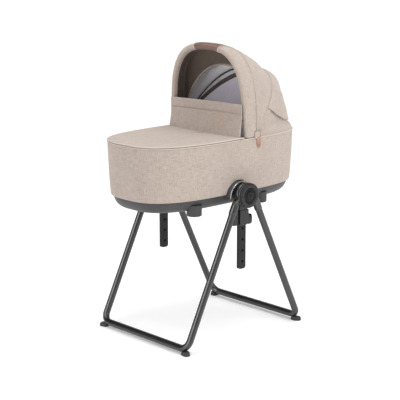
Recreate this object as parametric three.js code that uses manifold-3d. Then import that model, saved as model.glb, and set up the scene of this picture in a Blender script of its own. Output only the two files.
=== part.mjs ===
// Bassinet on a folding stand. Millimetres, +Z up, origin on the floor below the hub axle.
// +X is the right side, -Y the foot end and +Y the hood end.
import * as THREE from "three";
import { mergeVertices } from "three/addons/utils/BufferGeometryUtils.js";
import Module from "manifold-3d";

const wasm = await Module();
wasm.setup();

// Driving dimensions
const GAP = 0.4; // clearance between touching pieces
const HUB_Z = 597; // hub axle above the floor
const LEG_X = 257; // leg centreline from the middle plane
const LEG_OFFSET = 37; // leg centreline from the hub axle
const LEG_LENGTH = 657.3; // hub to floor bar, along the leg
const LEG_SPREAD = THREE.MathUtils.degToRad(25.93); // each frame, from upright
const TUBE_R = 14;
const TUBE_WALL = 1.5;
const CORNER_R = 38; // bend of the frame tube
const CORNER_Y = 320.7; // floor bar from the hub axle, opened out
const SOCKET_R = 16;
const SOCKET_TOP = 42;
const SOCKET_END = 97;
const DRUM_R = 42;
const AXLE_R = 9;
const CAP_R = 50;
const BUTTON_R = 30;
const BAR_X = 227; // inner face of the height bar
const BAR_THICK = 14.4;
const BAR_WIDTH = 37;
const BAR_BOTTOM = 288;
const BAR_CORNER = 9;
const BAR_TOP = 601.7;
const HOLE_R = 6;
const HOLE_PITCH = 46;
const HOLE_TOP_Z = 503;
const HOLES = 5;
const POD_R = 62; // outer radius of the side pod's arch
const POD_WALL = 7;
const POD_Z = 587; // centre of the arch
const RIM_HALF_WIDTH = 221;
const END_EXTRA = 198; // half-length less half-width, the same at every height
const FOOT_EXPONENT = 3;
const HEAD_EXPONENT = 3.6;
const PLAN_STEPS = 36;
const RIM_Z = 813;
const PIVOT_Y = 95; // hood hinge
const PIVOT_Z = 832;
const ARCH_STEPS = 22;

const MATERIALS = {
  satin_tube: { color: 0x5a5a5c, roughness: 0.42, metalness: 0.7 },
  dark_plastic: { color: 0x2b2b2d, roughness: 0.5, metalness: 0 },
  gloss_plastic: { color: 0x141415, roughness: 0.15, metalness: 0 },
  grey_plastic: { color: 0x515153, roughness: 0.5, metalness: 0 },
  soft_rubber: { color: 0x3a3a3c, roughness: 0.8, metalness: 0 },
  steel: { color: 0x9a9a9c, roughness: 0.35, metalness: 1 },
  melange_fabric: { color: 0xbcae9f, roughness: 0.95, metalness: 0 },
  lining_fabric: { color: 0x9c9299, roughness: 0.95, metalness: 0 },
  mesh_fabric: { color: 0x77706f, roughness: 0.95, metalness: 0 },
  board: { color: 0x8a7d6b, roughness: 0.9, metalness: 0 },
  brown_leather: { color: 0x7a5545, roughness: 0.55, metalness: 0 },
};

function piece(name, geometry, material) {
  const mesh = new THREE.Mesh(geometry, new THREE.MeshStandardMaterial(MATERIALS[material]));
  mesh.name = name;
  return mesh;
}

// Booleans
function solid(geometry) {
  const bare = geometry.clone();
  bare.deleteAttribute("normal");
  bare.deleteAttribute("uv");
  const merged = mergeVertices(bare, 1e-3);
  return new wasm.Manifold(
    new wasm.Mesh({
      numProp: 3,
      vertProperties: new Float32Array(merged.attributes.position.array),
      triVerts: new Uint32Array(merged.index.array),
    }),
  );
}

function geometryOf(manifold) {
  const mesh = manifold.getMesh();
  const geometry = new THREE.BufferGeometry();
  geometry.setAttribute("position", new THREE.BufferAttribute(new Float32Array(mesh.vertProperties), 3));
  geometry.setIndex(new THREE.BufferAttribute(new Uint32Array(mesh.triVerts), 1));
  geometry.computeVertexNormals();
  return geometry;
}

function join(first, ...others) {
  return geometryOf(others.reduce((sum, part) => sum.add(solid(part)), solid(first)));
}

function cut(first, ...others) {
  return geometryOf(others.reduce((sum, part) => sum.subtract(solid(part)), solid(first)));
}

// Plain shapes given by their lowest and highest corners, or by an axis
function block([x0, y0, z0], [x1, y1, z1]) {
  return new THREE.BoxGeometry(x1 - x0, y1 - y0, z1 - z0).translate((x0 + x1) / 2, (y0 + y1) / 2, (z0 + z1) / 2);
}

function discX(radius, x0, x1, y, z, sides = 28) {
  return new THREE.CylinderGeometry(radius, radius, x1 - x0, sides).rotateZ(Math.PI / 2).translate((x0 + x1) / 2, y, z);
}

function turnedX(profile, y, z, sides = 28) {
  const points = profile.map(([radius, x]) => new THREE.Vector2(radius, x));
  return new THREE.LatheGeometry(points, sides).rotateZ(-Math.PI / 2).translate(0, y, z);
}

// A skin through rings of points that all have the same count. Open stacks get flat ends.
function loft(rings, closed = false) {
  const count = rings[0].length;
  const positions = rings.flat().flatMap((p) => [p.x, p.y, p.z]);
  const index = [];
  const last = closed ? rings.length : rings.length - 1;
  for (let r = 0; r < last; r += 1) {
    const next = (r + 1) % rings.length;
    for (let i = 0; i < count; i += 1) {
      const j = (i + 1) % count;
      const [a, b, c, d] = [r * count + i, r * count + j, next * count + j, next * count + i];
      index.push(a, b, c, a, c, d);
    }
  }
  if (!closed) {
    const ends = [rings[0], rings[rings.length - 1]];
    ends.forEach((ring, end) => {
      const middle = ring.reduce((sum, p) => sum.add(p), new THREE.Vector3()).divideScalar(count);
      const centre = positions.length / 3;
      const base = end === 0 ? 0 : (rings.length - 1) * count;
      positions.push(middle.x, middle.y, middle.z);
      for (let i = 0; i < count; i += 1) {
        const j = (i + 1) % count;
        index.push(centre, ...(end === 0 ? [base + j, base + i] : [base + i, base + j]));
      }
    });
  }
  const geometry = new THREE.BufferGeometry();
  geometry.setAttribute("position", new THREE.Float32BufferAttribute(positions, 3));
  geometry.setIndex(index);
  if (solid(geometry).volume() < 0) {
    for (let i = 0; i < index.length; i += 3) [index[i + 1], index[i + 2]] = [index[i + 2], index[i + 1]];
    geometry.setIndex(index);
  }
  geometry.computeVertexNormals();
  return geometry;
}

// A tube path that puts a section exactly at each of its points
class StationPath extends THREE.Curve {
  constructor(points) {
    super();
    this.points = points;
  }
  getPointAt(u, target = new THREE.Vector3()) {
    const place = u * (this.points.length - 1);
    const low = Math.min(Math.floor(place + 1e-6), this.points.length - 2);
    return target.lerpVectors(this.points[low], this.points[low + 1], place - low);
  }
  getTangentAt(u, target = new THREE.Vector3()) {
    const i = Math.round(u * (this.points.length - 1));
    const before = this.points[Math.max(i - 1, 0)];
    const after = this.points[Math.min(i + 1, this.points.length - 1)];
    return target.subVectors(after, before).normalize();
  }
}

function rodAlong(points, radius, bore = 0, sides = 12) {
  const section = new THREE.Shape().absarc(0, 0, radius, 0, 2 * Math.PI);
  if (bore > 0) section.holes.push(new THREE.Path().absarc(0, 0, bore, 0, 2 * Math.PI, true));
  return new THREE.ExtrudeGeometry(section, {
    steps: points.length - 1,
    curveSegments: sides,
    extrudePath: new StationPath(points),
  });
}

// Plan outline of the bassinet for one half-width, squarer at the head end
function planRing(halfWidth, z, steps = PLAN_STEPS) {
  const halfLength = halfWidth + END_EXTRA;
  return Array.from({ length: steps }, (_, i) => {
    const angle = (2 * Math.PI * (i + 0.5)) / steps;
    const power = 2 / (Math.sin(angle) > 0 ? HEAD_EXPONENT : FOOT_EXPONENT);
    const x = halfWidth * Math.sign(Math.cos(angle)) * Math.abs(Math.cos(angle)) ** power;
    const y = halfLength * Math.sign(Math.sin(angle)) * Math.abs(Math.sin(angle)) ** power;
    return new THREE.Vector3(x, y, z);
  });
}

// Frames: each is drawn upright below the hub, then swung out. side is -1 for the front, +1 for the rear.
function cornerPath(side) {
  return [0, 0.2, 0.4, 0.6, 0.8, 1].map((turn) => {
    const angle = (turn * Math.PI) / 2;
    const x = LEG_X - CORNER_R + CORNER_R * Math.cos(angle);
    return new THREE.Vector3(x, side * LEG_OFFSET, -(LEG_LENGTH - CORNER_R + CORNER_R * Math.sin(angle)));
  });
}

function frameTube(side) {
  const legTop = new THREE.Vector3(LEG_X, side * LEG_OFFSET, -(SOCKET_TOP + 14));
  const right = [legTop, ...cornerPath(side)];
  const left = right.map((p) => new THREE.Vector3(-p.x, p.y, p.z)).reverse();
  return rodAlong([...right, ...left], TUBE_R, TUBE_R - TUBE_WALL, 7);
}

function legJoint(side, x0, x1) {
  const y = side * LEG_OFFSET;
  const drum = discX(DRUM_R, x0, x1, 0, 0);
  const arm = block([x0, Math.min(y - 11, y + 11), -SOCKET_TOP - 20], [x1, Math.max(y - 11, y + 11), 0]);
  const sleeve = new THREE.CylinderGeometry(SOCKET_R, SOCKET_R, SOCKET_END - SOCKET_TOP, 20)
    .rotateX(Math.PI / 2)
    .translate(LEG_X, y, -(SOCKET_TOP + SOCKET_END) / 2);
  const tubeRoom = new THREE.CylinderGeometry(TUBE_R + GAP, TUBE_R + GAP, SOCKET_END, 20)
    .rotateX(Math.PI / 2)
    .translate(LEG_X, y, -(SOCKET_TOP + 12 + SOCKET_END / 2));
  const axleRoom = discX(AXLE_R + GAP, x0 - 5, x1 + 5, 0, 0, 24);
  return cut(join(drum, arm, sleeve), tubeRoom, axleRoom);
}

function uFrame(end, side) {
  const group = new THREE.Group();
  group.position.z = HUB_Z;
  group.rotation.x = side * LEG_SPREAD;
  group.add(piece(`${end}_frame_tube`, frameTube(side), "satin_tube"));
  const [x0, x1] = side < 0 ? [248.5, 259.5] : [260, 271];
  const right = piece(`${end}_leg_joint_right`, legJoint(side, x0, x1), "dark_plastic");
  const left = piece(`${end}_leg_joint_left`, legJoint(side, x0, x1), "dark_plastic");
  left.scale.x = -1;
  group.add(right, left);
  return group;
}

// Wedge glide under one corner, hollowed to sit on the bent tube
function glide(side) {
  const cornerY = side * CORNER_Y;
  const [x0, x1, tip] = [LEG_X - 24, LEG_X + 13, cornerY + side * 17];
  const heel = cornerY - side * 16;
  const outline = [
    [x0, heel],
    [x1 - 14, heel],
    [x1, heel + side * 12],
    [x1, tip - side * 6],
    [x1 - 5, tip],
    [x1 - 16, tip],
    [x0, cornerY + side * 12],
  ];
  const ring = (z, shrink) =>
    outline.map(([x, y]) => new THREE.Vector3(x + shrink * Math.sign(LEG_X - 7 - x), y - shrink * Math.sign(y - cornerY), z));
  const wedge = loft([ring(0, 0), ring(11, 1), ring(15, 4)]);
  return cut(wedge, cornerRoom(side));
}

// Room for the tube's corner, in its place on the floor
function cornerRoom(side) {
  const y = side * LEG_OFFSET;
  const start = new THREE.Vector3(LEG_X, y, -(LEG_LENGTH - 120));
  const finish = new THREE.Vector3(LEG_X - 120, y, -LEG_LENGTH);
  const rod = rodAlong([start, ...cornerPath(side), finish], TUBE_R + GAP + 0.2, 0, 7);
  return rod.rotateX(side * LEG_SPREAD).translate(0, 0, HUB_Z);
}

// Hub, right side: a guide for the bar, an axle through both leg joints and a round cap
function hubHousing() {
  const guide = block([220, -32, 540], [240.6, 32, 600.5]);
  const column = block([220, -20.6, 533.5], [248, 20.6, 600.5]);
  const boss = discX(44, 242.5, 248, 0, HUB_Z);
  const room = block([BAR_X - GAP, -BAR_WIDTH / 2 - GAP, 500], [BAR_X + BAR_THICK + GAP, BAR_WIDTH / 2 + GAP, 650]);
  return cut(join(guide, column, boss), room);
}

function hubAxle() {
  return discX(AXLE_R, 248.4, 271.4, 0, HUB_Z, 24);
}

function hubCap() {
  return turnedX([[0, 271.8], [48, 271.8], [CAP_R, 273.5], [CAP_R, 281], [47.5, 284],
    [33, 284], [BUTTON_R + 0.6, 281.8], [BUTTON_R + 0.6, 273], [0, 273]], 0, HUB_Z);
}

function foldButton() {
  return turnedX([[0, 278.2], [12, 278.2], [12, 276.6], [BUTTON_R, 276.6], [BUTTON_R, 280.6], [28, 282.2],
    [0, 282.2]], 0, HUB_Z);
}

function foldSpring() {
  return turnedX([[5, 273.4], [9, 273.4], [9, 277.8], [5, 277.8], [5, 273.4]], 0, HUB_Z, 16);
}

function latchBox() {
  const wings = block([213, -48, 472], [240.4, 36, 530]);
  const column = block([213, -20.6, 470], [248, 20.6, 533.1]);
  const barRoom = block([BAR_X - GAP, -BAR_WIDTH / 2 - GAP, 400], [BAR_X + BAR_THICK + GAP, BAR_WIDTH / 2 + GAP, 600]);
  const pinRoom = discX(5.4, 205, 230, 0, HOLE_TOP_Z, 16);
  const buttonRoom = block([218.6, 23, 476.6], [237.4, 50, 507.4]);
  return cut(join(wings, column), barRoom, pinRoom, buttonRoom);
}

function heightButton() {
  const press = new THREE.Shape();
  press.moveTo(31, 477).lineTo(54, 480).absarc(50, 488, 8, -0.6, 0.9).lineTo(31, 507).lineTo(31, 477);
  return new THREE.ExtrudeGeometry(press, { depth: 18, bevelEnabled: false, curveSegments: 4 })
    .rotateX(Math.PI / 2).rotateZ(Math.PI / 2).translate(219, 0, 0);
}

function latchPin() {
  return join(discX(5, 219.5, 226.2, 0, HOLE_TOP_Z, 16), discX(3.4, 214, 220, 0, HOLE_TOP_Z, 16));
}

function latchSpring() {
  return turnedX([[3.8, 214.2], [4.9, 214.2], [4.9, 219.1], [3.8, 219.1], [3.8, 214.2]], 0, HOLE_TOP_Z, 16);
}

function heightBar() {
  const blank = new THREE.Shape();
  const half = BAR_WIDTH / 2;
  blank.moveTo(-half, BAR_TOP).lineTo(-half, BAR_BOTTOM + BAR_CORNER);
  blank.absarc(BAR_CORNER - half, BAR_BOTTOM + BAR_CORNER, BAR_CORNER, Math.PI, 1.5 * Math.PI);
  blank.absarc(half - BAR_CORNER, BAR_BOTTOM + BAR_CORNER, BAR_CORNER, 1.5 * Math.PI, 2 * Math.PI).lineTo(half, BAR_TOP);
  for (let i = 0; i < HOLES; i += 1) {
    const hole = new THREE.Path().absarc(0, HOLE_TOP_Z - i * HOLE_PITCH, HOLE_R, 0, 2 * Math.PI, true);
    blank.holes.push(hole);
  }
  return new THREE.ExtrudeGeometry(blank, { depth: BAR_THICK, bevelEnabled: false, curveSegments: 7 })
    .rotateX(Math.PI / 2).rotateZ(Math.PI / 2).translate(BAR_X, 0, 0);
}

function barHead() {
  const dome = discX(POD_R - POD_WALL - 1.5, 210, 231.5, 0, POD_Z);
  const neck = block([226, -25, 602], [241.4, 25, 630]);
  const below = block([200, -80, 500], [250, 80, 602.1]);
  return cut(join(dome, neck), below);
}

function hubSide(side) {
  const group = new THREE.Group();
  group.scale.x = side === "right" ? 1 : -1;
  group.add(
    piece(`hub_housing_${side}`, hubHousing(), "dark_plastic"),
    piece(`hub_axle_${side}`, hubAxle(), "steel"),
    piece(`hub_cap_${side}`, hubCap(), "dark_plastic"),
    piece(`fold_button_${side}`, foldButton(), "dark_plastic"),
    piece(`fold_spring_${side}`, foldSpring(), "steel"),
    piece(`latch_box_${side}`, latchBox(), "gloss_plastic"),
    piece(`height_button_${side}`, heightButton(), "gloss_plastic"),
    piece(`latch_pin_${side}`, latchPin(), "steel"),
    piece(`latch_spring_${side}`, latchSpring(), "steel"),
    piece(`height_bar_${side}`, heightBar(), "satin_tube"),
    piece(`bar_head_${side}`, barHead(), "dark_plastic"),
    piece(`side_pod_${side}`, sidePod(), "grey_plastic"),
    piece(`hood_hinge_${side}`, hoodHinge(), "dark_plastic"),
  );
  return group;
}

// Bassinet body
function sidePod() {
  const arch = join(discX(POD_R, 204.9, 232, 0, POD_Z), block([204.9, -POD_R, 584], [232, POD_R, POD_Z]));
  const inner = POD_R - POD_WALL;
  const hollow = join(discX(inner, 208.5, 240, 0, POD_Z), block([208.5, -inner, 500], [240, inner, POD_Z]));
  return cut(arch, hollow, block([200, -80, 500], [250, 80, 584]));
}

const SHELL_OUTSIDE = [[160, 548], [176, 552], [189, 562], [198, 577], [204.5, 601], [204.5, 655]];
const SHELL_INSIDE = [[201.2, 655], [201.2, 602], [194.8, 579], [186, 565], [174, 556], [158, 552]];

function shell() {
  return loft([...SHELL_OUTSIDE, ...SHELL_INSIDE].map(([halfWidth, z]) => planRing(halfWidth, z)));
}

function shellFoot(x, y) {
  const profile = [[0, 530], [28, 530], [30.5, 532.5], [30.5, 592], [0, 592]];
  const post = new THREE.LatheGeometry(profile.map(([r, z]) => new THREE.Vector2(r, z)), 24)
    .rotateX(Math.PI / 2).translate(x, y, 0);
  const tray = loft(SHELL_OUTSIDE.map(([halfWidth, z]) => planRing(halfWidth + GAP, z - GAP)));
  return cut(post, tray, block([-300, -500, 596], [300, 500, 700]));
}

function baseBoard() {
  return loft([planRing(155, 552.5), planRing(157, 557.5)]);
}

function mattress() {
  return loft([planRing(156, 562), planRing(172, 567), planRing(183, 585), planRing(186, 604), planRing(176, 611)]);
}

function lining() {
  const walls = [[199.5, 614], [199.5, 656], [205, 662], [211, 802], [205, 803], [199, 800], [192, 657], [191, 614]];
  return loft(walls.map(([halfWidth, z]) => planRing(halfWidth, z)), true);
}

function bodyCover() {
  const walls = [[212, 598], [214.7, 655], [218, 730], [RIM_HALF_WIDTH, 812], [218, RIM_Z], [216, 812], [212.5, 730],
    [209.2, 655], [206.5, 598]];
  const ring = loft(walls.map(([halfWidth, z]) => planRing(halfWidth, z)), true);
  const notchR = POD_R + 2;
  const notch = join(discX(notchR, -260, 260, 0, POD_Z), block([-260, -notchR, 560], [260, notchR, POD_Z]));
  return cut(ring, notch);
}

function rimFrame() {
  const centre = planRing(210, 808);
  const sides = 8;
  const rings = Array.from({ length: sides }, (_, i) => {
    const angle = (2 * Math.PI * i) / sides;
    return planRing(210 + 4.4 * Math.cos(angle), 808 + 4.4 * Math.sin(angle), centre.length);
  });
  return loft(rings, true);
}

// Zip-on cover over the foot half, its rear edge just in front of the hood
const APRON_EDGE_Y = 25;

function apron() {
  const ring = (halfWidth, z) => {
    const plan = planRing(halfWidth, z, 56).filter((p) => p.y < APRON_EDGE_Y - 12);
    const edge = halfWidth - RIM_HALF_WIDTH + APRON_EDGE_Y;
    const left = plan.find((p) => p.x < 0);
    const start = plan.indexOf(left);
    const walk = [...plan.slice(start), ...plan.slice(0, start)];
    walk.unshift(new THREE.Vector3(walk[0].x, edge, z));
    walk.push(new THREE.Vector3(walk[walk.length - 1].x, edge, z));
    return walk;
  };
  return loft([ring(219, 814.5), ring(RIM_HALF_WIDTH, 817), ring(219, 820.5), ring(205, 823), ring(160, 825.4)]);
}

function windFlap() {
  const cloth = new THREE.Shape();
  cloth.moveTo(-196, 829).lineTo(196, 829).lineTo(200, 833).lineTo(200, 938);
  cloth.absarc(188, 938, 12, 0, Math.PI / 2).absarc(-188, 938, 12, Math.PI / 2, Math.PI).lineTo(-200, 833);
  return new THREE.ExtrudeGeometry(cloth, { depth: 6, bevelEnabled: false, curveSegments: 4 })
    .rotateX(Math.PI / 2).translate(0, APRON_EDGE_Y + 3, 0);
}

// Hood: each rib is an arch in a plane through the hinge axis, turned up by its angle
function archPoint(turn, { halfWidth, reach, degrees, exponent = 3, y = PIVOT_Y, z = PIVOT_Z }) {
  const power = 2 / exponent;
  const across = halfWidth * Math.sign(Math.cos(turn)) * Math.abs(Math.cos(turn)) ** power;
  const out = reach * Math.abs(Math.sin(turn)) ** power;
  const angle = THREE.MathUtils.degToRad(degrees);
  return new THREE.Vector3(across, y + out * Math.cos(angle), z + out * Math.sin(angle));
}

const EYE_R = 9;
const PIN_R = 4;

function rib(arch, radius) {
  const first = (6 / arch.reach) ** ((arch.exponent ?? 3) / 2);
  const turns = Array.from({ length: ARCH_STEPS + 1 }, (_, i) => first + ((Math.PI - 2 * first) * i) / ARCH_STEPS);
  const rod = rodAlong(turns.map((turn) => archPoint(turn, arch)), radius, 0, 4);
  const eye = (x) => discX(EYE_R, x - radius, x + radius, PIVOT_Y, PIVOT_Z, 16);
  const bore = discX(PIN_R + GAP, -300, 300, PIVOT_Y, PIVOT_Z, 12);
  return cut(join(rod, eye(arch.halfWidth), eye(-arch.halfWidth)), bore);
}

function hoodHinge() {
  const plate = join(discX(14, 217, 221, PIVOT_Y, PIVOT_Z, 20), block([217, PIVOT_Y - 12, 813.5], [221, PIVOT_Y + 12, PIVOT_Z]));
  return join(plate, discX(PIN_R, 186, 218, PIVOT_Y, PIVOT_Z, 12));
}

// The turn of an arch's numbered step, from one foot to the other
const FIRST_TURN = 0.02;
function turnOf(step) {
  return FIRST_TURN + ((Math.PI - 2 * FIRST_TURN) * step) / ARCH_STEPS;
}

// A band of cloth through two or more arches, with its own thickness inwards
function hoodPanel(arches, thickness, first = turnOf(0), last = turnOf(ARCH_STEPS), steps = ARCH_STEPS) {
  const inner = arches.map((arch) => ({
    ...arch,
    halfWidth: arch.halfWidth - thickness,
    reach: arch.reach - thickness,
  }));
  const section = [...arches, ...inner.reverse()];
  const rings = Array.from({ length: steps + 1 }, (_, i) => {
    const turn = first + ((last - first) * i) / steps;
    return section.map((arch) => archPoint(turn, arch));
  });
  return loft(rings);
}

function hoopEdge(y, grow) {
  return { halfWidth: 222 + grow, reach: 344 + grow, degrees: 93.3, y, z: 834 };
}

function hoopRoll() {
  return hoodPanel([hoopEdge(55, -6), hoopEdge(62, 0), hoopEdge(88, 0), hoopEdge(95, -6)], 17);
}

function hoodGrip() {
  const [first, last] = [10, 12];
  return hoodPanel([hoopEdge(62, 2.6), hoopEdge(88, 2.6)], 2, turnOf(first), turnOf(last), last - first);
}

function sideTab() {
  return block([221.6, 94, 770], [223.4, 106, 800]);
}

// Assembly
const bassinetOnStand = new THREE.Group();
bassinetOnStand.add(uFrame("front", -1), uFrame("rear", 1));

for (const [end, side] of [["front", -1], ["rear", 1]]) {
  const right = piece(`${end}_glide_right`, glide(side), "soft_rubber");
  const left = piece(`${end}_glide_left`, glide(side), "soft_rubber");
  left.scale.x = -1;
  bassinetOnStand.add(right, left);
}

bassinetOnStand.add(hubSide("right"), hubSide("left"));

const FEET = { front: -202, rear: 168 };
for (const [end, y] of Object.entries(FEET)) {
  bassinetOnStand.add(piece(`tray_foot_${end}_right`, shellFoot(172, y), "soft_rubber"));
  bassinetOnStand.add(piece(`tray_foot_${end}_left`, shellFoot(-172, y), "soft_rubber"));
}

const FRONT_RIB = { halfWidth: 203, reach: 295, degrees: 51, exponent: 2.4 };
const REAR_RIB = { halfWidth: 212, reach: 322, degrees: 40.4, exponent: 2.35 };
const HOOP_ROD = { halfWidth: 194, reach: 322, degrees: 96.7 };
const CLOTH = 3;
const CLOTH_TURN = 0.033; // the panels start clear of the hinge plates
const cloth = (reach, degrees, exponent = 3) => ({ halfWidth: 220, reach, degrees, exponent });

bassinetOnStand.add(
  piece("shell", shell(), "grey_plastic"),
  piece("base_board", baseBoard(), "board"),
  piece("mattress", mattress(), "lining_fabric"),
  piece("inner_lining", lining(), "lining_fabric"),
  piece("body_cover", bodyCover(), "melange_fabric"),
  piece("rim_frame", rimFrame(), "steel"),
  piece("apron", apron(), "melange_fabric"),
  piece("wind_flap", windFlap(), "melange_fabric"),
  piece("rear_rib", rib(REAR_RIB, 3.5), "dark_plastic"),
  piece("front_rib", rib(FRONT_RIB, 3.5), "dark_plastic"),
  piece("hoop_rod", rib(HOOP_ROD, 4), "dark_plastic"),
  piece("hoop_roll", hoopRoll(), "melange_fabric"),
  piece("hood_grip", hoodGrip(), "brown_leather"),
  piece("canopy_front", hoodPanel([cloth(338, 91.5), cloth(311, 71, 2.6), cloth(303, 52, 2.4)], CLOTH, CLOTH_TURN, Math.PI - CLOTH_TURN), "melange_fabric"),
  piece("canopy_mesh", hoodPanel([cloth(303, 51.6, 2.4), cloth(329, 41, 2.35)], CLOTH, CLOTH_TURN, Math.PI - CLOTH_TURN), "mesh_fabric"),
  piece("canopy_rear", hoodPanel([cloth(329, 40.6, 2.35), cloth(318, 20, 2.3), cloth(324, 2, 2.4)], CLOTH, CLOTH_TURN, Math.PI - CLOTH_TURN), "melange_fabric"),
  piece("side_tab", sideTab(), "brown_leather"),
);

export default bassinetOnStand;
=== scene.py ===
import math

import bpy
import numpy as np
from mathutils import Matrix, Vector, noise


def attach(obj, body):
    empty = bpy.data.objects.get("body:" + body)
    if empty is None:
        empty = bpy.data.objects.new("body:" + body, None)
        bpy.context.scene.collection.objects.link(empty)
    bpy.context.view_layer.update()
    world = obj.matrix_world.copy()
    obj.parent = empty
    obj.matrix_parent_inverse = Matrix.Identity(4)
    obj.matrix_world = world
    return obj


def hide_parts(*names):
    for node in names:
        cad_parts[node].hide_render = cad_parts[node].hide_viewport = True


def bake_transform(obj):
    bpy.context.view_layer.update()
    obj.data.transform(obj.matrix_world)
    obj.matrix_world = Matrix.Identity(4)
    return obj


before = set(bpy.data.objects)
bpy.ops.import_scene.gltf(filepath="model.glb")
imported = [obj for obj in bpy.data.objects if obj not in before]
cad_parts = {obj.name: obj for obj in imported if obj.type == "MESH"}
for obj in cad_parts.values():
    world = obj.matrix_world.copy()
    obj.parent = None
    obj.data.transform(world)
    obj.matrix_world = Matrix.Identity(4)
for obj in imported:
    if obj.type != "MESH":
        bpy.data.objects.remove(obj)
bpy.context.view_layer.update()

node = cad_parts

# Camera, light and floor.
# A long lens looks down at the foot end and the right side. Soft lamps overhead and on the right light it, with
# two small ones for the inside of the hood. The backdrop and the board on the floor are white, and the metal
# mirrors dark walls with bright boxes between them.
camera = bpy.data.objects.new("camera", bpy.data.cameras.new("camera"))
bpy.context.collection.objects.link(camera)
bpy.context.scene.camera = camera
CAMERA_TURN, CAMERA_RISE = 0.8109, 0.2223
camera_back = Vector((math.sin(CAMERA_TURN) * math.cos(CAMERA_RISE), -math.cos(CAMERA_TURN) * math.cos(CAMERA_RISE),
                      math.sin(CAMERA_RISE)))
camera.location = (3.5445, -3.3752, 1.6398)
camera.rotation_mode = "QUATERNION"
camera.rotation_quaternion = (-camera_back).to_track_quat("-Z", "Y")
camera.data.sensor_width = 36
camera.data.lens = 108.85
camera.data.clip_end = 60


def soft_lamp(name, place, look_at, size, power):
    """A rectangular lamp that the camera does not see."""
    lamp = bpy.data.objects.new(name, bpy.data.lights.new(name, "AREA"))
    bpy.context.collection.objects.link(lamp)
    lamp.data.shape = "RECTANGLE"
    lamp.data.size, lamp.data.size_y = size
    lamp.data.energy = power
    lamp.location = place
    lamp.rotation_mode = "QUATERNION"
    lamp.rotation_quaternion = (Vector(look_at) - Vector(place)).to_track_quat("-Z", "Y")
    lamp.visible_camera = False


soft_lamp("lamp_over", (0.6, -0.5, 4.2), (0, 0, 0.5), (3.2, 3.2), 38)
soft_lamp("lamp_right", (4.0, 0.8, 3.2), (0, 0.1, 0.7), (1.2, 2.6), 55)
soft_lamp("lamp_hood", (-0.3, -1.5, 1.7), (0.0, 0.25, 0.98), (0.4, 0.4), 2.0)
soft_lamp("lamp_lining", (0, 0.16, 0.98), (0, 0.42, 0.93), (0.12, 0.12), 0.2)

room = bpy.data.worlds.new("white_room")
bpy.context.scene.world = room
room.use_nodes = True


def add_node(tree, kind, sockets=(), **settings):
    """A shader node with its settings, its input numbers and its links."""
    made = tree.nodes.new("ShaderNode" + kind)
    for name, value in settings.items():
        setattr(made, name, value)
    for name, value in dict(sockets).items():
        if isinstance(value, bpy.types.NodeSocket):
            tree.links.new(value, made.inputs[name])
        else:
            made.inputs[name].default_value = value
    return made


def finish(name, **sockets):
    """A material, its node tree and its shader, with the numbers that are the same all over it."""
    made = bpy.data.materials.new(name)
    made.use_nodes = True
    shader = made.node_tree.nodes["Principled BSDF"]
    for socket, value in sockets.items():
        shader.inputs[socket.replace("_", " ")].default_value = value
    return made, made.node_tree, shader


def ramp(tree, source, stops):
    """A colour ramp fed by a number, with stops of (place, colour)."""
    made = add_node(tree, "ValToRGB", {"Fac": source})
    elements = made.color_ramp.elements
    for element, (place, colour) in zip(elements, (stops[0], stops[-1])):
        element.position, element.color = place, (*colour, 1)
    for place, colour in stops[1:-1]:
        elements.new(place).color = (*colour, 1)
    return made.outputs["Color"]


def uneven(tree, where, scale, detail, **more):
    """A soft random pattern."""
    return add_node(tree, "TexNoise", {"Vector": where, "Scale": scale, "Detail": detail, **more}).outputs["Fac"]


def grey_ramp(tree, source, *stops):
    """A ramp of greys, with stops of (place, brightness)."""
    return ramp(tree, source, [(place, (value, value, value)) for place, value in stops])


def combine(tree, operation, *numbers):
    """The sum, product or other combination of numbers that vary over a surface."""
    return add_node(tree, "Math", dict(enumerate(numbers)), operation=operation).outputs["Value"]


def paint(tree, shader, source, *stops):
    """Colour that follows a pattern, with stops of (place, colour)."""
    tree.links.new(ramp(tree, source, stops), shader.inputs["Base Color"])


def roughen(tree, shader, source, low, high):
    """Roughness that follows a pattern between two values."""
    spread = add_node(tree, "MapRange", {"Value": source, "To Min": low, "To Max": high})
    tree.links.new(spread.outputs["Result"], shader.inputs["Roughness"])


def emboss(tree, shader, source, depth, strength):
    """Surface relief of a real depth in metres."""
    bump = add_node(tree, "Bump", {"Height": source, "Distance": depth, "Strength": strength})
    tree.links.new(bump.outputs["Normal"], shader.inputs["Normal"])


bpy.context.scene.view_settings.view_transform = "Standard"
tree = room.node_tree
seen = tree.nodes["Background"]
seen.inputs["Color"].default_value = (1, 1, 1, 1)
seen.inputs["Strength"].default_value = 1.02
way = add_node(tree, "SeparateXYZ", {"Vector": add_node(tree, "TexCoord").outputs["Generated"]}).outputs
bearing = combine(tree, "ARCTAN2", way["Y"], way["X"])
bearing = add_node(tree, "MapRange", {"Value": bearing, "From Min": -math.pi, "From Max": math.pi}).outputs["Result"]
walls = grey_ramp(tree, bearing, (0.0, 0.3), (0.16, 0.35), (0.21, 0.4), (0.25, 0.4), (0.3, 0.35), (0.42, 0.5),
                  (0.49, 0.95), (0.54, 0.85), (0.6, 0.32), (0.68, 0.3), (1.0, 0.3))
CEILING_LIGHT = (1.05, 1.05, 1.05, 1)
lit = add_node(tree, "Mix", {0: grey_ramp(tree, way["Z"], (0.12, 0.0), (0.6, 1.0))}, data_type="RGBA")
tree.links.new(walls, lit.inputs[6])
lit.inputs[7].default_value = CEILING_LIGHT
unseen = add_node(tree, "Background", {"Color": lit.outputs[2], "Strength": 1.0}).outputs["Background"]
DARK_FLAG, SOFT_BOX, SIDE_BOX = 0.1, 4.2, 0.9
mirrored = add_node(tree, "Mix", {0: 1.0}, data_type="RGBA", blend_type="MULTIPLY")
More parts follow.
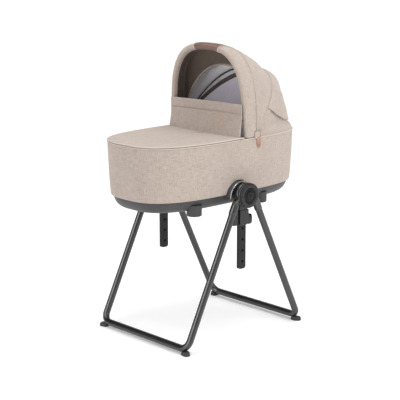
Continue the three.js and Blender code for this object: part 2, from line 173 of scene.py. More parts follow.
tree.links.new(grey_ramp(tree, bearing, (0.0, DARK_FLAG), (0.16, DARK_FLAG), (0.19, SOFT_BOX), (0.285, SOFT_BOX),
                         (0.32, DARK_FLAG), (0.49, SIDE_BOX), (0.53, SIDE_BOX), (0.57, DARK_FLAG), (0.8, SIDE_BOX),
                         (1.0, DARK_FLAG)), mirrored.inputs[6])
tree.links.new(grey_ramp(tree, way["Z"], (0.55, 1.0), (0.9, 0.35)), mirrored.inputs[7])
mirrored = add_node(tree, "Background", {"Color": mirrored.outputs[2], "Strength": 1.0}).outputs["Background"]
ray = add_node(tree, "LightPath").outputs
shining = add_node(tree, "MixShader", {0: ray["Is Glossy Ray"], 1: unseen, 2: mirrored}).outputs["Shader"]
chosen = add_node(tree, "MixShader", {0: ray["Is Camera Ray"], 1: shining, 2: seen.outputs["Background"]})
tree.links.new(chosen.outputs["Shader"], tree.nodes["World Output"].inputs["Surface"])

white_board, tree, shader = finish("white_board", Roughness=0.9, Emission_Color=(1, 1, 1, 1), Emission_Strength=0.12)
paper = uneven(tree, add_node(tree, "TexCoord").outputs["Object"], 3.0, 2.0)
tree.links.new(grey_ramp(tree, paper, (0.3, 0.975), (0.7, 0.995)), shader.inputs["Base Color"])
floor_mesh = bpy.data.meshes.new("studio_floor")
floor_mesh.from_pydata([(-40, -40, 0), (40, -40, 0), (40, 40, 0), (-40, 40, 0)], [], [(0, 1, 2, 3)])
floor_mesh.materials.append(white_board)
studio_floor = bpy.data.objects.new("studio_floor", floor_mesh)
bpy.context.collection.objects.link(studio_floor)

# Folding frames.
# Two U frames of round aluminium tube, 28 mm across, anodised in satin charcoal. Each is bent at two floor
# corners, and its leg tops are pressed into the joints at the hubs.
HUB_Z = 597
HANDS = ((1, "right"), (-1, "left"))
LEG_X, LEG_OFFSET, LEG_LENGTH, LEG_SPREAD = 257, 37, 657.3, math.radians(25.93)


def place_mesh(name, points, faces, material, body=None, smooth=True):
    """A new piece from points in millimetres, with one finish, riding on its body."""
    mesh = bpy.data.meshes.new(name)
    mesh.from_pydata([tuple(float(c) * 0.001 for c in p) for p in points], [], faces)
    mesh.materials.append(material)
    made = bpy.data.objects.new(name, mesh)
    bpy.context.collection.objects.link(made)
    if smooth:
        mesh.shade_smooth()
    if body:
        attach(made, body)
    return made


def skin(name, rows, material, body=None, around=False, along=False, caps=False, crease=None):
    """Cloth or sheet metal through rows of points. around closes each row on itself and along joins the last row
    to the first. The map called thread holds the material's own lengths, in metres, across and along the rows."""
    grid = np.array([[tuple(p) for p in row] for row in rows], float)
    count, width = grid.shape[:2]
    across = np.concatenate([grid, grid[:, :1]], axis=1) if around else grid
    u = np.concatenate([np.zeros((count, 1)), np.cumsum(np.linalg.norm(np.diff(across, axis=1), axis=2), axis=1)], 1)
    u -= u.mean(axis=1, keepdims=True)
    down = np.concatenate([grid, grid[:1]], axis=0) if along else grid
    v = np.concatenate([np.zeros((1, width)), np.cumsum(np.linalg.norm(np.diff(down, axis=0), axis=2), axis=0)], 0)
    faces, corners = [], []
    for r in range(count if along else count - 1):
        for c in range(width if around else width - 1):
            r2, c2 = (r + 1) % count, (c + 1) % width
            faces.append((r * width + c, r * width + c2, r2 * width + c2, r2 * width + c))
            corners += [(u[r, c], v[r, c]), (u[r, c + 1], v[r, c2]),
                        (u[r2, c + 1], v[r + 1, c2]), (u[r2, c], v[r + 1, c])]
    if caps:
        for row in (range(width - 1, -1, -1), range((count - 1) * width, count * width)):
            faces.append(tuple(row))
            corners += [(grid[i // width, i % width][0], grid[i // width, i % width][1]) for i in row]
    made = place_mesh(name, grid.reshape(-1, 3), faces, material)
    thread = made.data.uv_layers.new(name="thread")
    thread.data.foreach_set("uv", (np.array(corners, np.float32) * 0.001).ravel())
    if crease is not None:
        made.data.set_sharp_from_angle(angle=math.radians(crease))
    if body:
        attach(made, body)
    return made


def turn_steps(count):
    """Angles evenly spaced round a full turn."""
    return [2 * math.pi * k / count for k in range(count)]


def swept(name, path, radius, material, body, sides, closed=False, squeeze=1.0):
    """A rod, tube, cord or binding along a path. squeeze flattens it across the path's first side."""
    path = [Vector(p) for p in path]
    count = len(path)
    heading = []
    for i in range(count):
        before = path[i - 1] if i or closed else path[i]
        after = path[(i + 1) % count] if i < count - 1 or closed else path[i]
        heading.append((after - before).normalized())
    side = heading[0].orthogonal().normalized()
    rows = []
    for i in range(count):
        side = (side - heading[i] * side.dot(heading[i])).normalized()
        up = heading[i].cross(side)
        rows.append([path[i] + radius * (squeeze * math.cos(a) * side + math.sin(a) * up) for a in turn_steps(sides)])
    return skin(name, rows, material, body, around=True, along=closed, caps=not closed, crease=50)


def frame_path(side):
    """Centreline of one U frame, opened out. side is -1 for the front and 1 for the rear."""
    top, straight, bend = -56, 563.3, 38
    right = [(LEG_X, top)] + [(LEG_X, top - straight * k / 8) for k in range(1, 9)]
    for k in range(1, 13):
        turn = math.pi / 2 * k / 12
        right.append((LEG_X - bend + bend * math.cos(turn), -(LEG_LENGTH - bend + bend * math.sin(turn))))
    points = right + [(0, -LEG_LENGTH)] + [(-x, z) for x, z in reversed(right)]
    spread = side * LEG_SPREAD
    return [Vector((x, side * LEG_OFFSET * math.cos(spread) - z * math.sin(spread),
                    side * LEG_OFFSET * math.sin(spread) + z * math.cos(spread) + HUB_Z)) for x, z in points]


satin_charcoal, tree, shader = finish("satin_charcoal", Metallic=0.9, Specular_IOR_Level=0.3)
surface = add_node(tree, "TexCoord").outputs["Object"]
grain = uneven(tree, surface, 900.0, 4.0)
cloud = uneven(tree, surface, 14.0, 3.0)
both = combine(tree, "ADD", grain, cloud)
paint(tree, shader, both, (0.4, (0.05, 0.05, 0.051)), (1.0, (0.085, 0.085, 0.086)))
roughen(tree, shader, cloud, 0.24, 0.34)
emboss(tree, shader, grain, 0.00004, 0.6)

for side, end in ((-1, "front"), (1, "rear")):
    tube = swept(f"{end}_tube", frame_path(side), 14, satin_charcoal, f"{end}_frame", sides=32)
    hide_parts(f"{end}_frame_tube")

# Leg joints.
# Cast drums that turn on the hub axle, each with an arm and a sleeve that the leg is pressed into. They have the
# tubes' satin charcoal, with a finer grain and softened edges.
def moulded(name, low, high, rough_low, rough_high, relief=0.00006, size=700.0, **sockets):
    """Moulded plastic with a fine texture and faint flow marks."""
    made, tree, shader = finish(name, **sockets)
    surface = add_node(tree, "TexCoord").outputs["Object"]
    spark = uneven(tree, surface, size, 3.0)
    flow = uneven(tree, surface, 9.0, 4.0, Distortion=0.6)
    paint(tree, shader, flow, (0.3, low), (0.7, high))
    roughen(tree, shader, flow, rough_low, rough_high)
    emboss(tree, shader, spark, relief, 0.7)
    return made


def refine(names, material, bevel):
    """Gives solids of the frame rounded edges, even shading and their finish. Their own points stay."""
    for name in names:
        solid = node[name]
        solid.data.materials.clear()
        solid.data.materials.append(material)
        if "custom_normal" in solid.data.attributes:
            solid.data.attributes.remove(solid.data.attributes["custom_normal"])
        solid.data.shade_smooth()
        solid.modifiers.new("weld", "WELD").merge_threshold = 0.00002
        rounding = solid.modifiers.new("edges", "BEVEL")
        rounding.width = bevel * 0.001
        rounding.segments = 2
        rounding.limit_method = "ANGLE"
        rounding.angle_limit = math.radians(38)
        solid.modifiers.new("shading", "WEIGHTED_NORMAL")


nylon = moulded("charcoal_nylon", (0.022, 0.022, 0.023), (0.034, 0.034, 0.036), 0.36, 0.5)
joint_alloy = moulded("joint_alloy", (0.07, 0.07, 0.071), (0.1, 0.1, 0.101), 0.22, 0.32, 0.00003, 900.0, Metallic=0.9)


def boxed(value, power):
    """A sine or cosine raised to a power with its sign kept, which makes a circle squarer."""
    return math.copysign(abs(value) ** power, value)


def leg_frame(side, x, y, z):
    """A point given below an upright leg, swung out with its frame."""
    spread = side * LEG_SPREAD
    return Vector((x, y * math.cos(spread) - z * math.sin(spread), y * math.sin(spread) + z * math.cos(spread) + HUB_Z))


for side, end in ((-1, "front"), (1, "rear")):
    inner, outer = (248.5, 259.5) if side < 0 else (260.0, 271.0)
    for mirror, hand in HANDS:
        drum_rows = [[(mirror * x, r * math.cos(a), HUB_Z + r * math.sin(a)) for a in turn_steps(72)]
                     for r, x in ((9.6, inner), (43, inner), (47, inner + 0.8), (48.6, inner + 2.6),
                                  (48.6, outer - 2.6), (47, outer - 0.8), (43, outer), (9.6, outer))]
        drum = skin(f"{end}_joint_drum_{hand}", drum_rows, joint_alloy, f"{end}_frame", around=True, along=True,
                    crease=50)
        arm_rows = [[leg_frame(side, mirror * (LEG_X + wide * math.cos(a)), side * LEG_OFFSET + deep * math.sin(a), z)
                     for a in turn_steps(32)]
                    for z, wide, deep in ((-97, 15.4, 15.4), (-96, 16.2, 16.2), (-84, 16.4, 16.4), (-66, 16.2, 16.2),
                                          (-50, 14.6, 16.0))]
        for k in range(15):
            t = k / 14
            turn = math.radians(180 + 22 - 112 * t)
            wide = 9.5 - 4.2 * min(1, t * 2.5)
            deep = 14.5 - 3.5 * t
            x = LEG_X + ((inner + outer) / 2 - LEG_X) * min(1, 0.3 + t * 2)
            reach = 37.5 + 1.5 * t
            y, z = side * -math.cos(turn), math.sin(turn)
            arm_rows.append([leg_frame(side, mirror * (x + wide * boxed(math.cos(a), 0.8)),
                                       side * -reach * math.cos(turn) + y * deep * math.sin(a),
                                       reach * math.sin(turn) + z * deep * math.sin(a)) for a in turn_steps(32)])
        arm = skin(f"{end}_joint_arm_{hand}", arm_rows, joint_alloy, f"{end}_frame", around=True, caps=True, crease=60)
        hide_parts(f"{end}_leg_joint_{hand}")

# Corner glides.
# Soft rubber wedges under the four corners of the frames, which grip the floor and fill the bend.
glide_rubber = moulded("glide_rubber", (0.028, 0.028, 0.029), (0.045, 0.045, 0.046), 0.62, 0.8, 0.0001, 420.0)
refine([f"{end}_glide_{hand}" for end in ("front", "rear") for hand in ("left", "right")], glide_rubber, 0.8)

# Hub housings, axles, springs and pins.
# The housing is the fixed guide behind each hub. The axle, the return springs and the height pins are steel.
bright_steel = moulded("bright_steel", (0.45, 0.45, 0.46), (0.58, 0.58, 0.59), 0.2, 0.36, 0.00003, 1200.0, Metallic=1.0)
for hand in ("left", "right"):
    refine([f"hub_housing_{hand}"], nylon, 1.2)
    refine([f"hub_axle_{hand}", f"fold_spring_{hand}", f"latch_pin_{hand}", f"latch_spring_{hand}"], bright_steel, 0.3)

# Hub caps and fold buttons.
# A round cap covers each hub. Its satin ring is the screw-on bezel, and the glossy disc in the middle is the
# fold button, pressed with a plain ring. The bezel has a chamfered rim and a fine groove.
def turned(name, profile, material, body, side):
    """A round piece turned about the hubs' axle line, from (radius, x) pairs. side -1 puts it on the left."""
    rows = [[(side * x, r * math.cos(a), HUB_Z + r * math.sin(a)) for a in turn_steps(72)] for r, x in profile]
    if side < 0:
        rows.reverse()
    return skin(name, rows, material, body, around=True, crease=40)


cap_plastic = moulded("cap_plastic", (0.008, 0.008, 0.0085), (0.014, 0.014, 0.0145), 0.3, 0.42, Specular_IOR_Level=0.4)
button_plastic = moulded("button_plastic", (0.003, 0.003, 0.0033), (0.005, 0.005, 0.0055), 0.34, 0.44,
                         Specular_IOR_Level=0.2)
BEZEL = [(0.01, 271.8), (46, 271.8), (48.6, 272.2), (50, 273.8), (50, 279.6), (49.4, 281.4), (48.2, 282.8),
         (46.4, 283.7), (44, 284), (36.4, 284), (34.6, 283.6), (33, 282.6), (32, 281.4), (31, 280.6), (30.7, 279.4),
         (30.7, 273.2), (0.01, 273.2)]
DISC = [(0.01, 278.2), (12, 278.2), (12, 276.7), (29.8, 276.7), (30, 277), (30, 280), (29.4, 281), (28, 281.4),
        (24.6, 281.5), (24, 281.2), (23.4, 281.5), (0.01, 282.1)]
RING_RADIUS = 11
for side, hand in HANDS:
    bezel = turned(f"hub_bezel_{hand}", BEZEL, cap_plastic, "stand_hubs", side)
    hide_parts(f"hub_cap_{hand}")
    button = turned(f"fold_disc_{hand}", DISC, button_plastic, f"fold_button_{hand}", side)
    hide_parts(f"fold_button_{hand}")
    ring = [(side * 282.0, RING_RADIUS * math.cos(a), HUB_Z + RING_RADIUS * math.sin(a)) for a in turn_steps(40)]
    mark = swept(f"fold_ring_{hand}", ring, 0.8, nylon, f"fold_button_{hand}", sides=8, closed=True)

# Height bars.
# Flat aluminium bars with round lower ends that slide in the hubs. Five holes take the height pin.
bar_finish = moulded("bar_finish", (0.006, 0.006, 0.0063), (0.012, 0.012, 0.0123), 0.4, 0.55, 0.00003, 900.0,
                     Specular_IOR_Level=0.3)
refine(["height_bar_left", "height_bar_right"], bar_finish, 1.2)

# Latch boxes and height buttons.
# Glossy black housings under the hubs that hold the height pins. A rounded button on the rear side is pushed
# forwards to draw the pin.
gloss_black = moulded("gloss_black", (0.003, 0.003, 0.0033), (0.006, 0.006, 0.0065), 0.1, 0.2, 0.00002, 300.0)
refine(["latch_box_left", "latch_box_right"], gloss_black, 1.8)
for side, hand in HANDS:
    rows = [[(side * x, 46 + (13 + grow) * boxed(math.cos(a), 0.5), 487 + (20.5 + grow) * boxed(math.sin(a), 0.5))
             for a in turn_steps(56)]
            for x, grow in ((216.4, -5), (217.4, -2), (219.5, 0), (228, 0.6), (236.5, 0), (238.6, -2), (239.6, -5))]
    press = skin(f"height_press_{hand}", rows, gloss_black, f"height_button_{hand}", around=True, caps=True)
    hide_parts(f"height_button_{hand}")

# Bar heads and side pods.
# The half-disc head on each bar lies in a moulded pod on the side of the bassinet, which drops over it. A
# pale silver strip lines each pod's arch. Its bright colour is a painted highlight, standing for the light caught on
# the pod's rim.
refine(["bar_head_left", "bar_head_right"], nylon, 1.5)
pod_plastic = moulded("pod_plastic", (0.06, 0.06, 0.063), (0.085, 0.085, 0.088), 0.3, 0.42, Coat_Weight=0.2)
refine(["side_pod_left", "side_pod_right"], pod_plastic, 1.2)
# The pale silver colour of this strip is a painted highlight along the rim of each pod.
painted_highlight_strip = moulded("painted_highlight_strip", (0.42, 0.42, 0.44), (0.52, 0.52, 0.54), 0.16, 0.26, 0.00002, 1100.0, Metallic=0.9)
POD_Z, STRIP_RADIUS, STRIP_X, STRIP_FOOT = 587, 58.6, 231.6, 584.5
for side, hand in HANDS:
    strip = [(side * STRIP_X, STRIP_RADIUS * math.cos(a), POD_Z + STRIP_RADIUS * math.sin(a))
             for a in (math.pi * k / 40 for k in range(41))]
    strip = [(side * STRIP_X, STRIP_RADIUS, STRIP_FOOT), *strip, (side * STRIP_X, -STRIP_RADIUS, STRIP_FOOT)]
    pod_strip = swept(f"pod_highlight_strip_{hand}", strip, 2.6, painted_highlight_strip, "bassinet", sides=10)

# Shell.
# The bassinet's lower tray is one moulding in dark grey plastic, turned up into a wall that the cover is
# stretched over.
END_EXTRA = 198


def plan_point(angle, half_width):
    """A point of the bassinet's outline: square-shouldered, squarer at the hood end."""
    half_length = half_width + END_EXTRA
    power = 2 / (3.6 if math.sin(angle) > 0 else 3.0)
    return half_width * boxed(math.cos(angle), power), half_length * boxed(math.sin(angle), power)


def evenly(line, count):
    """Points spaced evenly along a line, both ends included."""
    run = np.concatenate([[0], np.cumsum(np.linalg.norm(np.diff(line, axis=0), axis=1))])
    at = np.linspace(0, run[-1], count)
    return np.stack([np.interp(at, run, line[:, 0]), np.interp(at, run, line[:, 1])], axis=1)


def outline(half_width, steps=128):
    """Evenly spaced points all round the outline."""
    return evenly(np.array([plan_point(2 * math.pi * k / 1400, half_width) for k in range(1401)]), steps + 1)[:steps]


shell_plastic = moulded("shell_plastic", (0.038, 0.038, 0.038), (0.053, 0.053, 0.053), 0.4, 0.52, 0.0001, 520.0)
SHELL = [(4, 548), (80, 548), (150, 548), (160, 548.2), (169, 549.6), (177, 552.6), (184, 557.4), (190, 563.6),
         (195, 571), (199, 580), (202, 590), (204, 601), (204.6, 630), (204.6, 655), (203, 656), (201.4, 655),
         (201.2, 604), (198.4, 590), (194.8, 579), (186, 565), (174, 556), (158, 552), (80, 552), (4, 552)]
rows = [[(x, y, z) for x, y in outline(w)] for w, z in SHELL]
shell = skin("tray_shell", rows, shell_plastic, "bassinet", around=True, crease=60)
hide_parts("shell")

# Tray feet.
# Four round rubber feet under the tray, so that the bassinet can stand on its own.
foot_rubber = moulded("foot_rubber", (0.035, 0.035, 0.036), (0.048, 0.048, 0.049), 0.5, 0.66, 0.0001, 420.0)
FOOT = [(0.01, 530.4), (20, 530.4), (22, 531.2), (24, 530), (27.2, 530), (29.4, 531), (30.4, 533.6), (30.5, 556),
        (30.5, 574), (0.01, 574)]
for end, y in (("front", -202), ("rear", 168)):
    for side, hand in HANDS:
        rows = [[(side * 172 + r * math.cos(a), y + r * math.sin(a), z) for a in turn_steps(40)] for r, z in FOOT]
        foot = skin(f"tray_pad_{end}_{hand}", rows, foot_rubber, "bassinet", around=True, crease=45)
        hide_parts(f"tray_foot_{end}_{hand}")

# Base board and mattress.
# A stiff fibre board covers the tray floor. The mattress on it is a soft foam pad in a quilted cotton cover,
# sewn in diamonds, with a piped edge.
board, tree, shader = finish("fibre_board", Roughness=0.85)
surface = add_node(tree, "TexCoord").outputs["Object"]
fibre = uneven(tree, surface, 260.0, 6.0, Roughness=0.7)
paint(tree, shader, fibre, (0.3, (0.2, 0.16, 0.11)), (0.7, (0.3, 0.25, 0.18)))
emboss(tree, shader, fibre, 0.0002, 0.6)
refine(["base_board"], board, 0.8)


WEAVE_DEPTH = 0.00025


def woven(name, dark, light, pitch, slub):
    """Cloth woven from uneven yarns, drawn in the cloth's own lengths: long thin slubs both ways, a fine over
    and under of the yarns and a soft change of shade over a hand's width."""
    made, tree, shader = finish(name, Roughness=0.9, Sheen_Weight=0.2, Sheen_Roughness=0.5)
    thread = add_node(tree, "UVMap", uv_map="thread").outputs["UV"]

    def streaks(across, along):
        stretched = add_node(tree, "Mapping", {"Vector": thread, "Scale": (across, along, 1.0)}).outputs["Vector"]
        return add_node(tree, "TexNoise", {"Vector": stretched, "Scale": 1.0, "Detail": 2.0, "Roughness": 0.6},
                        noise_dimensions="2D").outputs["Fac"]

    coarse = combine(tree, "ADD", streaks(26.0 * slub, 240.0 * slub), streaks(240.0 * slub, 26.0 * slub))
    fine = combine(tree, "ADD", streaks(80.0 * slub, 900.0 * slub), streaks(900.0 * slub, 80.0 * slub))
    yarns = combine(tree, "MULTIPLY_ADD", fine, 0.5, coarse)
    shade = combine(tree, "MULTIPLY_ADD", streaks(9.0, 9.0), 0.25, yarns)
    placed = add_node(tree, "MapRange", {"Value": shade, "From Min": 0.9, "From Max": 2.35})
    middle = tuple((d + l) / 2 for d, l in zip(dark, light))
    paint(tree, shader, placed.outputs["Result"], (0.0, dark), (0.5, middle), (1.0, light))
    bands_per_metre = 2 * math.pi / (pitch * 0.001) / 20
    waves = [add_node(tree, "TexWave", {"Vector": thread, "Scale": bands_per_metre, "Distortion": 0.6, "Detail": 1.0,
                                        "Detail Scale": 2.0}, bands_direction=axis).outputs["Fac"] for axis in ("X", "Y")]
    emboss(tree, shader, combine(tree, "MULTIPLY_ADD", combine(tree, "MULTIPLY", *waves), 0.6, shade), WEAVE_DEPTH, 0.8)
    roughen(tree, shader, fine, 0.82, 0.98)
    return made


cotton = woven("grey_cotton", (0.3, 0.27, 0.29), (0.46, 0.42, 0.45), 0.7, 1.4)
piping_cotton = woven("cream_piping", (0.5, 0.43, 0.37), (0.68, 0.6, 0.53), 0.8, 1.6)
DIAMOND = 62
MATTRESS = [(0.5, 562, 0), (120, 562, 0), (156, 562, 0), (172, 567, 0), (181, 579, 0), (185, 592, 0), (186, 600, 0),
            (184, 605, 0), (177, 609, 0), (164, 610.6, 1), (146, 611.4, 1), (126, 612, 1), (106, 612.4, 1),
            (86, 612.6, 1), (66, 612.8, 1), (46, 613, 1), (26, 613, 1), (6, 613, 1)]
rows = []
for w, z, quilted in MATTRESS:
    row = []
    for x, y in outline(w):
        slant, cross = (abs(math.sin(math.pi * along / DIAMOND)) for along in (x + y, x - y))
        row.append((x, y, z - quilted * (2.2 - 1.6 * min(slant, cross) ** 0.5 * 1.3)))
    rows.append(row)
mattress = skin("foam_pad", rows, cotton, "bassinet", around=True)
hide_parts("mattress")

# Inner lining.
# Grey cotton over thin wadding hangs from the rim down to the mattress, gathered a little at its corners.
LINING = [(210.2, 802.6), (211, 800), (210.2, 780), (208.8, 740), (207.2, 700), (205.4, 664), (201, 659), (199.4, 654),
          (199.3, 630), (199, 616), (196, 614.4), (192.4, 615.4), (191.6, 630), (192.2, 652), (193.4, 672), (195, 705),
          (196.6, 740), (198.4, 775), (200, 797), (203, 801.6), (207, 803)]
INNER_FACE = 201


def wander(x, y, z):
    """A smooth uneven value from about -1 to 1 that changes from place to place."""
    return noise.noise(Vector((x, y, z)))


rows = []
for w, z in LINING:
    row = []
    for x, y in outline(w, 160):
        fold = 0.0
        if w < INNER_FACE and 618 < z < 796:
            angle = math.atan2(y, x)
            fold = 1.4 * wander(9 * math.cos(angle), 9 * math.sin(angle), z * 0.006)
            fold += 0.9 * wander(x * 0.02, y * 0.02, z * 0.02)
        scale = 1 - (1.6 + fold) / 300 if w < INNER_FACE else 1
        row.append((x * scale, y * scale, z))
    rows.append(row)
lining = skin("cotton_lining", rows, cotton, "bassinet", around=True, along=True)
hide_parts("inner_lining")

# Body cover.
# The outer cover is a padded sleeve of woven melange cloth in beige and cream. A curved seam runs down each
# side near the foot and another near the hood, and the lower edge is turned in over the shell.
melange = woven("beige_melange", (0.30, 0.243, 0.203), (0.60, 0.512, 0.452), 0.9, 1.25)


def cover_half_width(z):
    """Half width of the cover's outside at a height, with a little fullness in the middle of the wall."""
    heights = [598, 604, 612, 655, 730, 790, 806, 812]
    widths = [210.6, 212.6, 213.4, 216.2, 219.3, 221.2, 221.4, 220.6]
    return float(np.interp(z, heights, widths))


SEAM_STEPS, SEAM_BOW = 40, 7
SEAMS = {"foot": ((-269, 806), (-212, 604)), "hood": ((280, 806), (196, 604))}


def seam_line(name, side):
    """A side seam from the rim to the lower edge, on the cover's outside."""
    (y0, z0), (y1, z1) = SEAMS[name]
    line = []
    for k in range(SEAM_STEPS + 1):
        t = k / SEAM_STEPS
        y = y0 + (y1 - y0) * t + SEAM_BOW * math.sin(math.pi * t) * (1 if name == "foot" else -1)
        z = z0 + (z1 - z0) * t
        w = cover_half_width(z)
        power = 3.6 if y > 0 else 3.0
        x = w * (1 - min(abs(y) / (w + END_EXTRA), 0.9999) ** power) ** (1 / power)
        line.append(Vector((side * x, y, z)))
    return line


def seam_dip(x, y, z):
    """How far the cloth is drawn in beside a side seam."""
    dip = 0
    for name in SEAMS:
        (y0, z0), (y1, z1) = SEAMS[name]
        t = (z0 - z) / (z0 - z1)
        bow = SEAM_BOW * math.sin(math.pi * max(0, min(1, t))) * (1 if name == "foot" else -1)
        at = y0 + (y1 - y0) * t + bow
        dip += 2.2 * math.exp(-((y - at) / 4.5) ** 2)
    return dip if abs(x) > 90 else 0


OUTER_WALL = [598, 599.5, 602, 606, 612, 620, 630, 642, 655, 670, 685, 700, 716, 732, 748, 764, 778, 790, 799, 805,
              809, 811.5, 812.6]
INNER_WALL = [(219, 813.2), (217, 812.6), (215.4, 808), (213, 735), (209.8, 655), (206.8, 604), (207.2, 598.6),
              (209, 597.4)]
rows = []
for w, z in [(cover_half_width(z), z) for z in OUTER_WALL] + INNER_WALL:
    row = []
    for x, y in outline(w, 320):
        shift = 0.0
        if len(rows) < len(OUTER_WALL):
            shift = 0.9 * wander(x * 0.011, y * 0.011, z * 0.016) + 0.35 * wander(x * 0.04, y * 0.04, z * 0.03)
            shift -= seam_dip(x, y, z)
        scale = 1 + shift / math.hypot(x, y)
        row.append((x * scale, y * scale, z))
    rows.append(row)
cover = skin("woven_cover", rows, melange, around=True, along=True)

# The cover is cut away round each side pod, with straight sides below the arch.
CUT_X, CUT_RADIUS, CUT_FOOT = 260, 64, 560
cutter_rows = [[(x, CUT_RADIUS * math.cos(a), POD_Z + CUT_RADIUS * math.sin(a)) for a in turn_steps(64)]
               for x in (-CUT_X, CUT_X)]
cutter = skin("pod_cutter", cutter_rows, melange, around=True, caps=True)
slot_points = [(x, y, z) for x in (-CUT_X, CUT_X) for y, z in ((-CUT_RADIUS, CUT_FOOT), (CUT_RADIUS, CUT_FOOT),
                                                               (CUT_RADIUS, POD_Z), (-CUT_RADIUS, POD_Z))]
slot_faces = [(0, 1, 2, 3), (7, 6, 5, 4), (0, 4, 5, 1), (1, 5, 6, 2), (2, 6, 7, 3), (3, 7, 4, 0)]
slot_cutter = place_mesh("slot_cutter", slot_points, slot_faces, melange)
for tool in (cutter, slot_cutter):
    notch = cover.modifiers.new("notch", "BOOLEAN")
    notch.operation = "DIFFERENCE"
    notch.object = tool
    notch.solver = "EXACT"


def apply_modifiers(piece):
    """Makes a piece's modifiers part of its mesh."""
    graph = bpy.context.evaluated_depsgraph_get()
    shape = bpy.data.meshes.new_from_object(piece.evaluated_get(graph), preserve_all_data_layers=True, depsgraph=graph)
    piece.modifiers.clear()
    piece.data = shape


apply_modifiers(cover)
for tool in (cutter, slot_cutter):
    bpy.data.objects.remove(tool)
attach(cover, "bassinet")
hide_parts("body_cover")


STITCH_ENDS = ((-0.5, 0.35), (-0.25, 1.0), (0.25, 1.0), (0.5, 0.35))


def stitches(name, line, material, body, out, pitch=5.0, length=3.4, girth=0.55, lift=0.2):
    """A row of machine stitches along a line, lying on a face that looks along out."""
    line = [Vector(p) for p in line]
    run = np.concatenate([[0], np.cumsum([(b - a).length for a, b in zip(line, line[1:])])])
    points, faces = [], []
    for k in range(int(run[-1] / pitch)):
        at = (k + 0.5) * pitch
        i = int(max(min(np.searchsorted(run, at) - 1, len(line) - 2), 0))
        ahead = (line[i + 1] - line[i]).normalized()
        spot = line[i] + ahead * (at - run[i])
        facing = Vector(out(spot)) if callable(out) else Vector(out)
        facing = (facing - ahead * facing.dot(ahead)).normalized()
        across = ahead.cross(facing)
        base = len(points)
        for along, size in STITCH_ENDS:
            points += [spot + ahead * along * length + facing * (lift + girth * size * math.sin(a))
                       + across * girth * 1.3 * size * math.cos(a) for a in turn_steps(6)]
        faces += [(base + r * 6 + c, base + r * 6 + (c + 1) % 6, base + r * 6 + 6 + (c + 1) % 6, base + r * 6 + 6 + c)
                  for r in range(3) for c in range(6)]
        faces += [tuple(base + 5 - c for c in range(6)), tuple(base + 18 + c for c in range(6))]
    return place_mesh(name, points, faces, material, body)


def yarn(name, dark, light, scale=900.0, rough=0.8):
    """Twisted thread or cord, seen as fine slanting strands."""
    made, tree, shader = finish(name, Roughness=rough, Sheen_Weight=0.15)
    surface = add_node(tree, "TexCoord").outputs["Object"]
    strand = add_node(tree, "TexWave", {"Vector": surface, "Scale": scale * 0.5, "Distortion": 1.0, "Detail": 1.0},
                      bands_direction="DIAGONAL").outputs["Fac"]
    blot = uneven(tree, surface, scale * 0.3, 2.0)
    mixed = combine(tree, "MULTIPLY", strand, blot)
    paint(tree, shader, mixed, (0.05, dark), (0.6, light))
    roughen(tree, shader, blot, rough - 0.08, rough + 0.08)
    emboss(tree, shader, strand, 0.0001, 0.7)
    return made


cream_thread = yarn("cream_thread", (0.42, 0.35, 0.29), (0.64, 0.56, 0.48))
for side, hand in HANDS:
    for name in SEAMS:
        line = seam_line(name, side)
        sunk = [p - Vector((side * 1.4, 0, 0)) for p in line]
        fold = swept(f"cover_{name}_seam_{hand}", sunk, 1.2, piping_cotton, "bassinet", sides=8)
        step = 5.0 if name == "foot" else -5.0
        beside = [p + Vector((-side * 0.6, step, 0)) for p in line]
        middle = sum(beside, Vector()) / len(beside)
        row = stitches(f"cover_{name}_stitches_{hand}", beside, cream_thread, "bassinet",
                       lambda p: Vector((p.x, p.y * 0.4, (p.z - middle.z) * 0.1)).normalized(),
                       girth=0.45 if name == "foot" else 0.6, lift=0.35)

# Rim frame and piping.
# A steel hoop in a woven sleeve inside the rim holds the bassinet open. A cream piping is sewn round the
# cover's top edge.
rim_sleeve = yarn("rim_sleeve", (0.2, 0.175, 0.18), (0.36, 0.32, 0.33))
refine(["rim_frame"], rim_sleeve, 0.3)
PIPING_RADIUS = 2.2
rim_line = [(x, y, 811.6) for x, y in outline(221.6, 220)]
piping = swept("rim_piping", rim_line, PIPING_RADIUS, piping_cotton, "bassinet", sides=10, closed=True)

# Apron.
# The foot cover is a padded panel of the same cloth, held to the rim by a zip that runs round the foot. Its edge
# is piped too, and its rear edge is tucked under the wind flap.
APRON_EDGE = 25


def apron_row(half_width, z, steps=150):
    """One row of the apron: from the left end of its rear edge, round the foot, to the right end."""
    points = [(x, y) for x, y in outline(half_width, 640) if y < APRON_EDGE - 0.5]
    left = min(range(len(points)), key=lambda k: (points[k][0] > 0, -points[k][1]))
    points = points[left:] + points[:left]
    edge = APRON_EDGE - (221 - half_width) * 0.1
    points = [(points[0][0], edge)] + points + [(points[-1][0], edge)]
    return [(x, y, z) for x, y in evenly(np.array(points), steps)]


def crown(x, y, z):
    """A height on the padded panel, with its soft wrinkles."""
    return z + (0.9 * wander(x * 0.012, y * 0.01, 3.1) + 0.35 * wander(x * 0.045, y * 0.03, 7.7))


APRON_ROWS = [(1.0, 814.6), (1.0, 816.6), (0.996, 818.2), (0.985, 819.4), (0.965, 820.0), (0.93, 820.3), (0.88, 820.4),
              (0.8, 820.2), (0.7, 819.8), (0.58, 819.4), (0.45, 819.0), (0.3, 818.6), (0.15, 818.3), (0.02, 818.2)]
rim_row = apron_row(221, 818)
rows = []
for t, z in APRON_ROWS:
    row = [(x * t, APRON_EDGE + (y - APRON_EDGE) * t) for x, y, _ in rim_row]
    rows.append([(x, y, crown(x, y, z) if t < 0.99 else z) for x, y in row])
apron = skin("padded_apron", rows, melange)
wadding = apron.modifiers.new("wadding", "SOLIDIFY")
wadding.thickness = 0.003
FACE_ON_TOP = 700
wadding.offset = -1 if apron.data.polygons[FACE_ON_TOP].normal.z > 0 else 1
apply_modifiers(apron)
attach(apron, "apron")
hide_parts("apron")

